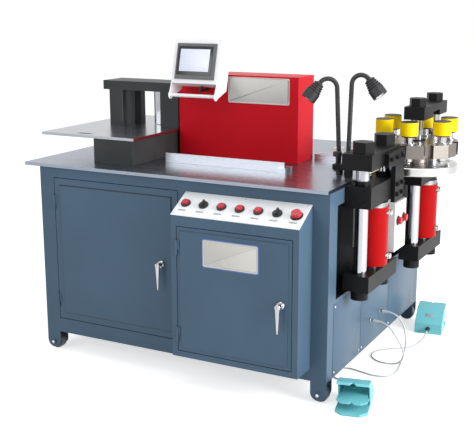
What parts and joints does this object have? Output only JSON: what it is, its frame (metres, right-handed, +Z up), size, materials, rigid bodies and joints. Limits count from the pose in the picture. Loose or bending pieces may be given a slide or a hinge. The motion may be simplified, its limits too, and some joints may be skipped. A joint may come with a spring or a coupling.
{
  "type": "busbar processing machine",
  "caption": "Cabinet on wheels with a bending press under a red cover, a shear and a turret punch at its right side, a tilted display, work lamps and foot pedals on cords.",
  "frame": {"origin": "on the floor under the middle of the machine's box, cords left out", "axes": "+X to the machine's right, +Y to its back, +Z up"},
  "size_m": [1.75, 1.375, 1.4152],
  "materials": {
    "cabinet_paint": "semi-gloss blue-grey paint",
    "table_steel": "ground and brushed",
    "motor_paint": "satin paint",
    "white_paint": "satin white paint",
    "bender_grey": "dark grey paint",
    "red_paint": "gloss red paint",
    "aluminium": "anodised",
    "display_grey": "matt bezel",
    "block_black": "blackened steel",
    "lamp_black": "matt black",
    "pedal_teal": "gloss teal paint",
    "cord_grey": "pale grey sheath",
    "wheel_iron": "worn iron",
    "chrome": "bright chrome",
    "button_red": "gloss",
    "punch_yellow": "gloss yellow paint over steel",
    "stop_white": "satin"
  },
  "bodies": {
    "cabinet": {"cabinet_frame": "cabinet_paint", "cabinet_panels": "cabinet_paint", "table_top": "table_steel", "hydraulic_unit": "motor_paint", "control_box": "cabinet_paint", "control_panel": "white_paint", "electrical_plate": "white_paint", "bender_base": "bender_grey", "bender_table": "table_steel", "bender_frame": "bender_grey", "bender_cylinder": "red_paint", "bender_cover": "red_paint", "guide_rails": "aluminium", "hmi_housing": "white_paint", "hmi_display": "display_grey", "shear_block": "block_black", "shear_guide": "block_black", "shear_cylinder": "red_paint", "punch_block": "block_black", "punch_cylinder": "red_paint", "lamp_necks": "lamp_black", "lamp_heads": "lamp_black", "switch_box": "white_paint", "front_pedal_housing": "pedal_teal", "rear_pedal_housing": "pedal_teal", "front_pedal_cord": "cord_grey", "rear_pedal_cord": "cord_grey"},
    "wheel_front_left_body": {"wheel_front_left": "wheel_iron"},
    "wheel_rear_left_body": {"wheel_rear_left": "wheel_iron"},
    "wheel_front_right_body": {"wheel_front_right": "wheel_iron"},
    "wheel_rear_right_body": {"wheel_rear_right": "wheel_iron"},
    "left_door_body": {"left_door": "cabinet_paint"},
    "left_handle_body": {"left_door_handle": "chrome"},
    "box_door_body": {"box_door": "cabinet_paint"},
    "box_handle_body": {"box_door_handle": "chrome"},
    "push_button_1_body": {"push_button_1": "button_red"},
    "push_button_2_body": {"push_button_2": "button_red"},
    "push_button_3_body": {"push_button_3": "button_red"},
    "push_button_4_body": {"push_button_4": "button_red"},
    "stop_button_body": {"stop_button": "button_red"},
    "selector_1_body": {"selector_1": "lamp_black"},
    "selector_2_body": {"selector_2": "lamp_black"},
    "side_button_1_body": {"side_button_1": "button_red"},
    "side_button_2_body": {"side_button_2": "button_red"},
    "shear_ram": {"shear_yoke": "block_black", "shear_rods": "chrome"},
    "punch_ram": {"punch_yoke": "block_black", "punch_rods": "chrome"},
    "turret_body": {"turret": "table_steel"},
    "punch_1_body": {"punch_1": "punch_yellow"},
    "punch_2_body": {"punch_2": "punch_yellow"},
    "punch_3_body": {"punch_3": "punch_yellow"},
    "punch_4_body": {"punch_4": "punch_yellow"},
    "punch_5_body": {"punch_5": "punch_yellow"},
    "punch_6_body": {"punch_6": "punch_yellow"},
    "bender_ram_body": {"bender_ram": "chrome"},
    "front_pedal_plate_body": {"front_pedal_plate": "pedal_teal"},
    "rear_pedal_plate_body": {"rear_pedal_plate": "pedal_teal"},
    "feed_stop_body": {"feed_stop": "stop_white"},
    "hold_down_body": {"hold_down": "lamp_black"}
  },
  "joints": [
    {"name": "wheel_front_left_spin", "type": "hinge", "parent": "cabinet", "child": "wheel_front_left_body", "pos_m": [-0.772, -0.4925, 0.036], "axis": [0, 1, 0], "continuous": true},
    {"name": "wheel_rear_left_spin", "type": "hinge", "parent": "cabinet", "child": "wheel_rear_left_body", "pos_m": [-0.772, 0.6475, 0.036], "axis": [0, 1, 0], "continuous": true},
    {"name": "wheel_front_right_spin", "type": "hinge", "parent": "cabinet", "child": "wheel_front_right_body", "pos_m": [0.558, -0.4925, 0.036], "axis": [0, 1, 0], "continuous": true},
    {"name": "wheel_rear_right_spin", "type": "hinge", "parent": "cabinet", "child": "wheel_rear_right_body", "pos_m": [0.558, 0.6475, 0.036], "axis": [0, 1, 0], "continuous": true},
    {"name": "left_door_hinge", "type": "hinge", "parent": "cabinet", "child": "left_door_body", "pos_m": [-0.7305, -0.5278, 0.16], "axis": [0, 0, -1], "range_deg": [0, 110]},
    {"name": "left_door_handle_turn", "type": "hinge", "parent": "left_door_body", "child": "left_handle_body", "pos_m": [-0.172, -0.5265, 0.4895], "axis": [0, 1, 0], "range_deg": [0, 90]},
    {"name": "box_door_hinge", "type": "hinge", "parent": "cabinet", "child": "box_door_body", "pos_m": [-0.0205, -0.6528, 0.17], "axis": [0, 0, -1], "range_deg": [0, 90]},
    {"name": "box_door_handle_turn", "type": "hinge", "parent": "box_door_body", "child": "box_handle_body", "pos_m": [0.449, -0.6515, 0.436], "axis": [0, 1, 0], "range_deg": [0, 90]},
    {"name": "push_button_1_press", "type": "slide", "parent": "cabinet", "child": "push_button_1_body", "axis": [0, 0.4939, -0.8695], "range_m": [0, 0.005], "stiffness_N_per_m": 800, "springref_m": -0.002},
    {"name": "push_button_2_press", "type": "slide", "parent": "cabinet", "child": "push_button_2_body", "axis": [0, 0.4939, -0.8695], "range_m": [0, 0.005], "stiffness_N_per_m": 800, "springref_m": -0.002},
    {"name": "push_button_3_press", "type": "slide", "parent": "cabinet", "child": "push_button_3_body", "axis": [0, 0.4939, -0.8695], "range_m": [0, 0.005], "stiffness_N_per_m": 800, "springref_m": -0.002},
    {"name": "push_button_4_press", "type": "slide", "parent": "cabinet", "child": "push_button_4_body", "axis": [0, 0.4939, -0.8695], "range_m": [0, 0.005], "stiffness_N_per_m": 800, "springref_m": -0.002},
    {"name": "stop_button_press", "type": "slide", "parent": "cabinet", "child": "stop_button_body", "axis": [0, 0.4939, -0.8695], "range_m": [0, 0.005]},
    {"name": "selector_1_turn", "type": "hinge", "parent": "cabinet", "child": "selector_1_body", "pos_m": [0.073, -0.58648, 0.78211], "axis": [0, -0.4939, 0.8695], "range_deg": [-45, 45]},
    {"name": "selector_2_turn", "type": "hinge", "parent": "cabinet", "child": "selector_2_body", "pos_m": [0.401, -0.58648, 0.78211], "axis": [0, -0.4939, 0.8695], "range_deg": [-45, 45]},
    {"name": "side_button_1_press", "type": "slide", "parent": "cabinet", "child": "side_button_1_body", "axis": [-1, 0, 0], "range_m": [0, 0.005], "stiffness_N_per_m": 800, "springref_m": -0.002},
    {"name": "side_button_2_press", "type": "slide", "parent": "cabinet", "child": "side_button_2_body", "axis": [-1, 0, 0], "range_m": [0, 0.005], "stiffness_N_per_m": 800, "springref_m": -0.002},
    {"name": "shear_stroke", "type": "slide", "parent": "cabinet", "child": "shear_ram", "axis": [0, 0, -1], "range_m": [0, 0.026]},
    {"name": "punch_stroke", "type": "slide", "parent": "cabinet", "child": "punch_ram", "axis": [0, 0, -1], "range_m": [0, 0.018]},
    {"name": "turret_index", "type": "hinge", "parent": "cabinet", "child": "turret_body", "pos_m": [0.693, 0.2325, 0.9], "axis": [0, 0, 1], "continuous": true},
    {"name": "punch_1_press", "type": "slide", "parent": "turret_body", "child": "punch_1_body", "axis": [0, 0, -1], "range_m": [0, 0.018], "stiffness_N_per_m": 3000, "springref_m": -0.012},
    {"name": "punch_2_press", "type": "slide", "parent": "turret_body", "child": "punch_2_body", "axis": [0, 0, -1], "range_m": [0, 0.018], "stiffness_N_per_m": 3000, "springref_m": -0.012},
    {"name": "punch_3_press", "type": "slide", "parent": "turret_body", "child": "punch_3_body", "axis": [0, 0, -1], "range_m": [0, 0.018], "stiffness_N_per_m": 3000, "springref_m": -0.012},
    {"name": "punch_4_press", "type": "slide", "parent": "turret_body", "child": "punch_4_body", "axis": [0, 0, -1], "range_m": [0, 0.018], "stiffness_N_per_m": 3000, "springref_m": -0.012},
    {"name": "punch_5_press", "type": "slide", "parent": "turret_body", "child": "punch_5_body", "axis": [0, 0, -1], "range_m": [0, 0.018], "stiffness_N_per_m": 3000, "springref_m": -0.012},
    {"name": "punch_6_press", "type": "slide", "parent": "turret_body", "child": "punch_6_body", "axis": [0, 0, -1], "range_m": [0, 0.018], "stiffness_N_per_m": 3000, "springref_m": -0.012},
    {"name": "bender_stroke", "type": "slide", "parent": "cabinet", "child": "bender_ram_body", "axis": [-1, 0, 0], "range_m": [0, 0.09]},
    {"name": "front_pedal_press", "type": "hinge", "parent": "cabinet", "child": "front_pedal_plate_body", "pos_m": [0.68656, -0.4287, 0.052], "axis": [0.9781, 0.2079, 0], "range_deg": [0, 12], "stiffness_Nm_per_rad": 15, "springref_deg": -5.73},
    {"name": "rear_pedal_press", "type": "hinge", "parent": "cabinet", "child": "rear_pedal_plate_body", "pos_m": [0.71266, 0.51504, 0.052], "axis": [-0.9903, -0.1392, 0], "range_deg": [0, 12], "stiffness_Nm_per_rad": 15, "springref_deg": -5.73},
    {"name": "feed_stop_slide", "type": "slide", "parent": "cabinet", "child": "feed_stop_body", "axis": [1, 0, 0], "range_m": [-0.06, 0.06]},
    {"name": "hold_down_screw", "type": "slide", "parent": "cabinet", "child": "hold_down_body", "axis": [0, 0, -1], "range_m": [0, 0.018]}
  ]
}
